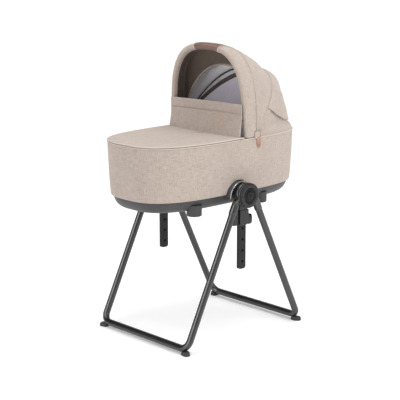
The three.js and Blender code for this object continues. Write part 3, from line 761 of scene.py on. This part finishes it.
cord_line = [(x * 1.003, y * 1.003, 818.6) for x, y, _ in apron_row(221, 818, 170)]
edge_cord = swept("apron_piping", cord_line, PIPING_RADIUS, piping_cotton, "apron", sides=10)

zip_tape = yarn("zip_tape", (0.3, 0.25, 0.205), (0.46, 0.4, 0.34), 700.0, 0.85)
zip_metal = moulded("zip_metal", (0.30, 0.24, 0.19), (0.42, 0.34, 0.28), 0.28, 0.4, 0.00002, 900.0, Metallic=0.8)
tape_rows = [apron_row(220.8, z, 170) for z in (813.4, 814.6, 815.8, 817.0)]
tape = skin("zip_band", tape_rows, zip_tape, "apron")
TOOTH = [(0, -0.7, -1.3), (0, 0.7, -1.3), (0, 0.7, 1.3), (0, -0.7, 1.3), (0.8, -0.5, -1.0), (0.8, 0.5, -1.0),
         (0.8, 0.5, 1.0), (0.8, -0.5, 1.0)]
TOOTH_FACES = [(0, 3, 2, 1), (4, 5, 6, 7), (0, 1, 5, 4), (1, 2, 6, 5), (2, 3, 7, 6), (3, 0, 4, 7)]
points, faces = [], []
for x, y, z in apron_row(221.2, 815.4, 470)[2:-2]:
    out = Vector((x, y * 0.5, 0)).normalized()
    along = Vector((-out.y, out.x, 0))
    faces += [tuple(len(points) + i for i in face) for face in TOOTH_FACES]
    points += [Vector((x, y, z)) + out * dx + along * dy + Vector((0, 0, dz)) for dx, dy, dz in TOOTH]
teeth = place_mesh("zip_teeth", points, faces, zip_metal, "apron", smooth=False)

# Zip slider.
# The metal slider rests at the right end of the zip, beside the wind flap.
slider_at = Vector((222.4, 6, 815.6))
rows = []
for x, half, tall in ((0.0, 4.4, 2.2), (1.2, 5.2, 3.0), (2.6, 5.0, 3.0), (3.4, 3.6, 2.2)):
    rows.append([slider_at + Vector((x, half * boxed(math.cos(a), 0.6), tall * boxed(math.sin(a), 0.7)))
                 for a in turn_steps(24)])
slider = skin("zip_slider", rows, zip_metal, "apron", around=True, caps=True, crease=45)

# Wind flap.
# A double layer of the cover's cloth that stands up from the apron's rear edge in front of the hood. Its top is
# turned over into a deep stitched hem, and a plain ring and two bars are embroidered in copper on its right.
FLAP_FOOT, HEM_DEPTH, EMBLEM_X, EMBLEM_Z = 812, 40, 87, 884
EMBLEM_RADIUS = 11


def flap_top(x):
    """Height of the flap's top edge, a little higher on the right, where it is buttoned to the hood."""
    return 947 + 0.02 * x + 1.6 * math.sin(math.pi * (x + 200) / 400)


def flap_front(x, z):
    """Depth of the flap's front face: soft waves from side to side and a step at the hem's stitching."""
    wave = 2.2 * wander(x * 0.009, z * 0.006, 1.7) + 1.1 * wander(x * 0.022, z * 0.004, 9.2)
    hem = flap_top(x) - HEM_DEPTH
    crease = 2.2 * math.exp(-((z - hem) / 2.2) ** 2)
    hem_fold = 1.2 / (1 + math.exp(-(z - hem) / 1.5))
    lean = 16 * max(0, (900 - z) / 90) ** 1.3
    return 21.4 - lean + wave * min(1, max(0, (z - 820) / 30)) + crease - hem_fold


def flap_row(t, back):
    """One row across the flap, t of the way up it, back millimetres behind its front face."""
    heights = [FLAP_FOOT + t * (flap_top(x) - FLAP_FOOT) for x in columns]
    return [(x, flap_front(x, z) + back, z) for x, z in zip(columns, heights)]


columns = [-203 + 410 * k / 130 for k in range(131)]
rows = [flap_row(t, 0) for t in (0.0, 0.04, 0.1, 0.18, 0.27, 0.36, 0.45, 0.53, 0.6, 0.65, 0.672, 0.683, 0.69, 0.697,
                                 0.708, 0.73, 0.78, 0.84, 0.9, 0.95, 0.98)]
for back, drop in ((0.6, 0.8), (2.6, 0), (4.8, 0.8)):
    rows.append([(x, flap_front(x, flap_top(x)) + back, flap_top(x) - drop) for x in columns])
rows += [flap_row(t, 5.4) for t in (0.98, 0.9, 0.78, 0.7, 0.6, 0.45, 0.27, 0.1, 0.0)]
flap_rows = [list(row) for row in zip(*rows)]
ends = []
for row, step in ((flap_rows[0], -1.2), (flap_rows[-1], 1.2)):
    middle_y = np.mean([y for _, y, _ in row])
    ends.append([(x + step, middle_y + (y - middle_y) * 0.3, z) for x, y, z in row])
flap_rows = [ends[0], *flap_rows, ends[1]]
wind_flap = skin("cloth_flap", flap_rows, melange, "wind_flap", around=True, caps=True)
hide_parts("wind_flap")
hem_line = [(x, flap_front(x, flap_top(x) - HEM_DEPTH) - 0.2, flap_top(x) - HEM_DEPTH) for x in columns[1:-1]]
brown_thread = yarn("brown_thread", (0.2, 0.15, 0.11), (0.36, 0.28, 0.22))
hem_row = stitches("flap_hem_stitches", hem_line, brown_thread, "wind_flap", (0, -1, 0))

copper_cloth = yarn("copper_satin", (0.5, 0.27, 0.15), (0.78, 0.5, 0.34), 1100.0, 0.5)
spots = [(EMBLEM_X + EMBLEM_RADIUS * math.cos(a), EMBLEM_Z + EMBLEM_RADIUS * math.sin(a)) for a in turn_steps(48)]
ring = swept("flap_ring", [(x, flap_front(x, z) - 0.3, z) for x, z in spots], 1.5, copper_cloth, "wind_flap", sides=8,
             closed=True, squeeze=0.6)
for number, (z, half) in enumerate(((862, 15), (855, 10))):
    bar = [(x, flap_front(x, z) - 0.3, z) for x in (EMBLEM_X + half * (k / 8 - 1) for k in range(17))]
    bar = swept(f"flap_bar_{number + 1}", bar, 1.2, copper_cloth, "wind_flap", sides=8)

# Hood hinges and ribs.
# Three arched rods of filled nylon turn on a pin at each side of the rim. Each rod runs in a bound casing that is
# sewn to the lining, a double brown one at the rear rib. The front lining ends in a taupe one that hangs free.
PIVOT_Y, PIVOT_Z = 95, 832
refine(["hood_hinge_left", "hood_hinge_right"], nylon, 0.8)
refine(["front_rib", "rear_rib", "hoop_rod"], nylon, 0.6)


def arch(half_width, reach, degrees, exponent, y=PIVOT_Y, z=PIVOT_Z, steps=96, first=0.0, last=math.pi):
    """Evenly spaced points of an arch that stands in a plane through the hinges, turned up by its angle."""
    turns = first + (last - first) * (0.5 - 0.5 * np.cos(np.linspace(0, math.pi, 1201)))
    across = half_width * np.sign(np.cos(turns)) * np.abs(np.cos(turns)) ** (2 / exponent)
    out = reach * np.abs(np.sin(turns)) ** (2 / exponent)
    run = np.concatenate([[0], np.cumsum(np.hypot(np.diff(across), np.diff(out)))])
    at = np.linspace(0, run[-1], steps + 1)
    x, r = np.interp(at, run, across), np.interp(at, run, out)
    a = math.radians(degrees)
    return [Vector((px, y + pr * math.cos(a), z + pr * math.sin(a))) for px, pr in zip(x, r)]


taupe_binding = yarn("taupe_binding", (0.3, 0.25, 0.21), (0.52, 0.45, 0.39), 500.0, 0.85)
brown_binding = yarn("brown_binding", (0.045, 0.03, 0.023), (0.105, 0.072, 0.055), 500.0, 0.8)
for name, line, radius, finish_of, body, sides in (
        ("front_lining_edge", (208.5, 257, 80, 2.2), 4.4, taupe_binding, "hood_hoop", 14),
        ("rear_rib_casing_lower", (211, 320.5, 39.5, 2.35), 5.0, brown_binding, "rear_rib", 12),
        ("rear_rib_casing_upper", (211, 320.5, 41.7, 2.35), 5.0, brown_binding, "rear_rib", 12),
        ("hoop_casing", (194, 322, 96.7, 3.0), 5.6, brown_binding, "hood_hoop", 12)):
    casing = swept(name, arch(*line, first=0.07, last=math.pi - 0.07), radius, finish_of, body, sides=sides)

# Hood cloth.
# The hood's outside is the melange cloth: a front panel from the hoop to the front rib, a cover over the window,
# and a tail that meets the rim. A loose rear flap hangs over the tail. Inside are a dark taupe lining, whose dark
# colour is painted shade on the inside of the front panel, and a grey lining, with a net from the rear rib to the
# edge of the front lining.
HOOD = {"degrees": [0, 2, 10, 20, 30, 41, 52, 60, 71, 80, 91.5, 97],
        "reach": [325, 324, 321, 318, 321, 329, 304, 305, 311, 321, 338, 342],
        "exponent": [2.5, 2.4, 2.32, 2.3, 2.3, 2.35, 2.4, 2.45, 2.6, 2.75, 3.0, 3.0]}
HOOD_HALF_WIDTH, CLOTH_STEPS, HINGE_GAP = 222.5, 110, 0.004
FRONT_SEAM, REAR_SEAM = 52, 41
TAIL_TURN = (22, 100)


def hood_row(degrees, inset, steps=CLOTH_STEPS, first=HINGE_GAP):
    """One arch of the hood's cloth at an angle, set in from the outside by inset."""
    reach = float(np.interp(degrees, HOOD["degrees"], HOOD["reach"])) - inset
    exponent = float(np.interp(degrees, HOOD["degrees"], HOOD["exponent"]))
    return arch(HOOD_HALF_WIDTH - inset, reach, degrees, exponent, steps=steps, first=first, last=math.pi - first)


def pull(point, degrees, amount):
    """Soft wrinkles that fan out from the hinges."""
    out = Vector((point.x * 0.6, point.y - PIVOT_Y, point.z - PIVOT_Z))
    size = out.length
    wave = wander(degrees * 0.13, size * 0.004, point.x * 0.006)
    wave += 0.5 * wander(degrees * 0.3, size * 0.012, point.x * 0.012 + 5)
    return point + out.normalized() * wave * amount * min(1.0, size / 120)


def turn_blend(piece, low, high, middle_degrees, spread):
    """Bakes the piece's placement into its points. low, high, middle_degrees and spread are not used."""
    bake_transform(piece)


# The taupe lining's dark colour is painted shade. It stands for the beige cloth on the inside of the front panel, in
# the shadow of the hood.
painted_shade_taupe = woven("painted_shade_taupe_lining", (0.1, 0.074, 0.06), (0.185, 0.142, 0.118), 0.7, 1.4)
lavender_cotton = woven("lavender_lining", (0.5, 0.47, 0.52), (0.68, 0.64, 0.71), 0.7, 1.4)


def pulled_rows(angles, amount, inset=0.0):
    """Arches of the hood's cloth at several angles, with their wrinkles."""
    return [[pull(p, a, amount) for p in hood_row(a, inset)] for a in angles]


def inner_arch(half_width, reach, degrees, exponent, y=PIVOT_Y):
    """An arch with as many points as one of the hood's cloth, for what is sewn to it inside."""
    return arch(half_width, reach, degrees, exponent, y=y, steps=CLOTH_STEPS, first=HINGE_GAP, last=math.pi - HINGE_GAP)


def inner_rows(top, low, count, spread, out, fade, angles, amount):
    """Cloth between two arches that bellies out from the hinges by out. fade is the height where that begins and
    the height it takes to grow, and angles are the first arch's angle and the fall to the last one."""
    rows = []
    for k in range(count):
        t = k / (count - 1)
        belly = out * math.sin(math.pi * t)
        row = []
        for p, q in zip(top, low):
            away = Vector((p.x * spread[0], (p.y - PIVOT_Y) * spread[1], p.z - PIVOT_Z)).normalized()
            share = min(1, max(0, (p.z - fade[0]) / fade[1]))
            row.append(pull(p.lerp(q, t) + away * belly * share, angles[0] - angles[1] * t, amount))
        rows.append(row)
    return rows


rows = [inner_arch(222.2, 337, 92, 3.0, y=80)]
rows += pulled_rows([91.5 - 39.5 * k / 16 for k in range(17)], 2.6)
outside = skin("front_panel", rows, melange)
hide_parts("canopy_front")
turn_blend(outside, "front_rib", "hood_hoop", 71.5, 70)
lining_edge = inner_arch(210, 261, 80, 2.2)
rows = inner_rows(inner_arch(218.3, 334, 92.5, 3.0), lining_edge, 13, (0.4, 0), 9, (860, 100), (92.5, 12), 1.6)
# This sheet's dark taupe is painted shade on the inside of the front panel.
inside = skin("front_panel_shaded_lining", rows, painted_shade_taupe)
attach(inside, "hood_hoop")

# The window's net is knitted polyester, with small round holes in staggered rows.
window_net, tree, shader = finish("window_net", Roughness=0.75, Sheen_Weight=0.25)
thread = add_node(tree, "UVMap", uv_map="thread").outputs["UV"]
holes = add_node(tree, "TexVoronoi", {"Vector": thread, "Scale": 620.0, "Randomness": 0.15},
                 voronoi_dimensions="2D").outputs["Distance"]
haze = uneven(tree, thread, 24.0, 2.0)
open_share = combine(tree, "MULTIPLY_ADD", haze, 0.25, holes)
paint(tree, shader, open_share, (0.25, (0.38, 0.37, 0.385)), (0.55, (0.8, 0.78, 0.8)))
roughen(tree, shader, haze, 0.65, 0.85)
emboss(tree, shader, holes, 0.0003, 0.8)
rows = inner_rows(lining_edge, hood_row(REAR_SEAM, 4.4), 15, (0.3, 1), 13, (850, 120), (80, 39), 0.8)
NET_SPLIT = 7
net = skin("window_mesh", rows[NET_SPLIT:], window_net)
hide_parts("canopy_mesh")
turn_blend(net, "rear_rib", "front_rib", 50.5, 40)
net_above = skin("window_mesh_upper", rows[:NET_SPLIT + 1], window_net)
turn_blend(net_above, "front_rib", "hood_hoop", 71, 36)
over = skin("window_cover", pulled_rows([FRONT_SEAM - 11.2 * k / 6 for k in range(7)], 2.0), melange)
turn_blend(over, "rear_rib", "front_rib", 46.5, 20)

# The tail drops from the rear rib to the rim and is tucked inside the piping.
rim_polar = np.array([(math.atan2(y - PIVOT_Y, x), math.hypot(x, y - PIVOT_Y)) for x, y in outline(219.4, 900)])
rim_polar = rim_polar[np.argsort(rim_polar[:, 0])]


def rim_under(point, z, grow=0.0):
    """The point of the rim that lies straight out from the hinges under a point of the hood."""
    angle = math.atan2(point.y - PIVOT_Y, point.x)
    reach = float(np.interp(angle, rim_polar[:, 0], rim_polar[:, 1], period=2 * math.pi)) + grow
    return Vector((reach * math.cos(angle), PIVOT_Y + reach * math.sin(angle), z))


def tail_rows(inset, wrinkle):
    """The tail's rows, from the rear rib down to the hinges' height and then to the rim."""
    rows = []
    for a in (REAR_SEAM, 38, 34, 30, 26, 22, 18, 14, 10.5, 7.5, 5, 3, 1.5):
        rows += pulled_rows([a], wrinkle, inset + 5.5 * min(1, max(0, (a - 3) / 10)))
    base = rows[-1]
    for t, z in ((0.35, 831), (0.65, 825), (0.88, 819.5)):
        swell = 2.0 * math.sin(math.pi * min(1, t * 0.9))
        rows.append([Vector((*p.lerp(rim_under(p, z, -inset + swell), t).xy, p.z + (z - p.z) * min(1, 0.15 + t)))
                     for p in base])
    return rows + [[rim_under(p, z) for p in base] for z in (814.5, 811)]


tail = skin("hood_tail", tail_rows(0.0, 2.2), melange)
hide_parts("canopy_rear")
turn_blend(tail, "bassinet", "rear_rib", *TAIL_TURN)
tail_lining = skin("hood_tail_lining", tail_rows(4.2, 1.4), lavender_cotton)
turn_blend(tail_lining, "bassinet", "rear_rib", *TAIL_TURN)

# The rear flap is cut straight across its lower edge, with a corner at each side where it joins the seam.
FLAP_EDGE = ((112, 51), (119, 41), (129, 32.4), (142, 24.8), (165, 16.2), (190, 9.7), (230, 5.5), (280, 3.2),
             (314, 2.2), (340, 2.0))
flap_first = math.asin((113 / 318) ** (2.3 / 2)) + 0.003
fine_arches = [hood_row(a, -0.6, first=flap_first) for a in range(FRONT_SEAM + 1)]


def on_hood(column, degrees, lift):
    """A point of the flap in a column, at any angle, lifted off the hood."""
    low = int(max(0, min(FRONT_SEAM - 1, math.floor(degrees))))
    p = fine_arches[low][column].lerp(fine_arches[low + 1][column], degrees - low)
    return p + Vector((p.x * 0.4, p.y - PIVOT_Y, p.z - PIVOT_Z)).normalized() * lift


def flap_rows_of(lift_low, lift_high):
    """One face of the flap, from its seam down to its lower edge, lifted more and more off the tail."""
    reaches = [math.hypot(p.y - PIVOT_Y, p.z - PIVOT_Z) for p in fine_arches[25]]
    lowest = [float(np.interp(reach, *zip(*FLAP_EDGE))) for reach in reaches]
    rows = []
    for t in (step / 18 for step in range(19)):
        lift = lift_low + (lift_high - lift_low) * t ** 1.5
        angles = [51 + (low - 51) * t for low in lowest]
        rows.append([pull(on_hood(column, a, lift), a, 2.2 * (1 - 0.5 * t)) for column, a in enumerate(angles)])
    return rows


flap_outer = flap_rows_of(0.8, 5.0)
flap_inner = flap_rows_of(-0.6, 2.6)
rear_flap = skin("rear_flap", [*flap_outer, *flap_inner[::-1]], melange, along=True)
turn_blend(rear_flap, "bassinet", "rear_rib", *TAIL_TURN)
HEM_RADIUS, UP = 2.3, Vector((0, 0, 1))
rows = [[p.lerp(q, 0.5) + HEM_RADIUS * (math.cos(a) * (p - q).normalized() + math.sin(a) * UP) for a in turn_steps(10)]
        for p, q in zip(flap_outer[-1], flap_inner[-1])]
hem = skin("rear_flap_hem", rows, melange, around=True, caps=True)
turn_blend(hem, "bassinet", "rear_rib", *TAIL_TURN)

# The seam over the front rib has a flat-felled edge and a row of topstitching on each side.
for part, offset in (("low", -1.1), ("high", 1.1)):
    row = stitches(f"rib_topstitch_{part}", hood_row(FRONT_SEAM + offset, -0.4, steps=200), cream_thread, "front_rib",
                   lambda p: (p.x * 2, p.y - PIVOT_Y, p.z - PIVOT_Z))
felled = swept("rib_seam", hood_row(FRONT_SEAM, 0.4), 1.5, melange, "front_rib", sides=8)

# The cloth is carried down over each hinge as a small rounded lug, sewn into the rim seam.
for side, hand in HANDS:
    rows = [[(side * (221.5 + 0.7 * out), 101 + 13.5 * grow * boxed(math.cos(a), 0.7),
              824 + 13 * grow * boxed(math.sin(a), 0.7)) for a in turn_steps(40)]
            for out, grow in ((0, 0.2), (0.9, 1.0), (1.3, 1.4), (1.3, 0.75), (1.2, 0.01))]
    rows[0] = [(side * 221.3, y, z) for _, y, z in rows[2]]
    lug = skin(f"hinge_lug_{hand}", rows, melange, "bassinet", around=True)

# Hood hoop.
# The front edge of the hood is a padded roll over the hoop rod, with a piped seam behind it. Inside, a gathered
# brown binding closes the lining against the roll.
HOOP_Z = 834


def hoop_arch(y, grow, steps=120, foot=True):
    """A line of the roll at one depth and one height off the rod, carried down to the rim at both feet."""
    points = arch(HOOD_HALF_WIDTH + grow, 344 + grow, 93.3, 3.0, y=y, z=HOOP_Z, steps=steps)
    if foot:
        drop = [Vector((HOOD_HALF_WIDTH + grow, y, HOOP_Z - d)) for d in (17.5, 12, 6)]
        points = drop + points + [Vector((-p.x, p.y, p.z)) for p in reversed(drop)]
    return points


ROLL = []
for a in turn_steps(22):
    square, flat = (0.62, 0.72) if math.cos(a) > 0 else (1.0, 1.0)
    ROLL.append((67 - 30.5 * boxed(math.cos(a), square), -12.0 + 13.6 * boxed(math.sin(a), flat)))
lines = [[p + Vector((0, 0.8 * wander(p.x * 0.02, p.z * 0.02, y * 0.05), 0)) for p in hoop_arch(y, grow)]
         for y, grow in ROLL]
roll = skin("hoop_padding", [list(row) for row in zip(*lines)], melange, "hood_hoop", around=True, caps=True)
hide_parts("hoop_roll")
seam_cord = swept("hoop_seam_cord", hood_row(90.2, -0.3), 1.6, melange, "hood_hoop", sides=8)

GATHER = ((-2, 0, 0), (2, 1.8, 0.5), (9, 3.0, 1.0), (18, 3.2, 1.0), (27, 3.2, 1.0), (33, 1.6, 0.4), (36, 0, 0))
gather = []
for k, p in enumerate(hoop_arch(54, -25.6, steps=420, foot=False)):
    ruffle = 1.3 * math.sin(k * 0.75) + 0.7 * math.sin(k * 1.9 + 1.0)
    inward = Vector((p.x, 0, (p.z - HOOP_Z) * 0.6)).normalized()
    gather.append([p + Vector((0, dy, 0)) - inward * (lift + ruffle * bulge) for dy, lift, bulge in GATHER])
binding = skin("hoop_binding", gather, brown_binding, "hood_hoop")

# Hood grip.
# A leather sleeve is wrapped round the middle of the hoop as a handle. Its edges are stitched and each end has a
# narrow cream band.
def leather(name, low, high):
    """Smooth grained leather with creases and slightly polished high spots."""
    made, tree, shader = finish(name, Coat_Weight=0.08, Coat_Roughness=0.35)
    surface = add_node(tree, "TexCoord").outputs["Object"]
    pebble = add_node(tree, "TexVoronoi", {"Vector": surface, "Scale": 620.0}, feature="SMOOTH_F1").outputs["Distance"]
    wear = uneven(tree, surface, 38.0, 5.0)
    paint(tree, shader, wear, (0.3, low), (0.75, high))
    roughen(tree, shader, wear, 0.42, 0.58)
    emboss(tree, shader, pebble, 0.00025, 0.6)
    return made


grip_leather = leather("grip_leather", (0.13, 0.07, 0.055), (0.225, 0.128, 0.104))
arch_lines = [hoop_arch(y, grow, steps=240, foot=False) for y, grow in ROLL]
keep = [i for i, p in enumerate(arch_lines[0]) if -65 <= p.x <= 79]
middle = [sum((line[i] for line in arch_lines), Vector()) / len(arch_lines) for i in keep]
rows = [[m + (line[i] - m) * (1 + 2.0 / max((line[i] - m).length, 1)) for line in arch_lines]
        for m, i in zip(middle, keep)]
rows = [[middle[0].lerp(p, 0.8) for p in rows[0]], *rows, [middle[-1].lerp(p, 0.8) for p in rows[-1]]]
grip = skin("leather_grip", rows, grip_leather, "hood_hoop", around=True, caps=True, crease=50)
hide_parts("hood_grip")
for end, row, step in (("left", rows[-2], -1), ("right", rows[1], 1)):
    m = sum(row, Vector()) / len(row)
    band_rows = [[m + (p - m) * size + Vector((d * step, 0, 0)) for p in row]
                 for d, size in ((-3, 0.985), (-1, 1.012), (1, 1.012), (3, 0.985))]
    band = skin(f"grip_band_{end}", band_rows, piping_cotton, "hood_hoop", around=True)
for name, share, out in (("front", 2, (0, -1, 0.6)), ("back", 9, (0, 1, 0.6))):
    line = [row[share] for row in rows[2:-2]]
    row = stitches(f"grip_stitches_{name}", line, cream_thread, "hood_hoop", out, pitch=4.4, length=3.0)

# Side tab.
# A folded copper-coloured leather tab is caught in the rim seam below the hood hinge, on the right side, with a
# small metal eyelet.
copper_leather = leather("copper_leather", (0.33, 0.17, 0.10), (0.5, 0.29, 0.19))
TAB_TOP = 814
TAB = [(0, 814, 10.2), (0.4, 806, 10.2), (0.9, 798, 10.2), (1.2, 790, 10.2), (1.0, 782, 10.2), (0.6, 775, 8.6),
       (0.2, 770.5, 4.6)]
rows = [[(222.7 + bulge + 0.9 * math.sin(a), 106 + 0.12 * (TAB_TOP - z) + half * boxed(math.cos(a), 0.5), z)
         for a in turn_steps(16)] for bulge, z, half in TAB]
tab = skin("leather_tab", rows, copper_leather, "bassinet", around=True, caps=True, crease=60)
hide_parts("side_tab")
eyelet = [(224.8, 110 + 3.4 * math.cos(a), 780 + 3.4 * math.sin(a)) for a in turn_steps(32)]
eyelet = swept("tab_eyelet", eyelet, 0.8, zip_metal, "bassinet", sides=8, closed=True)
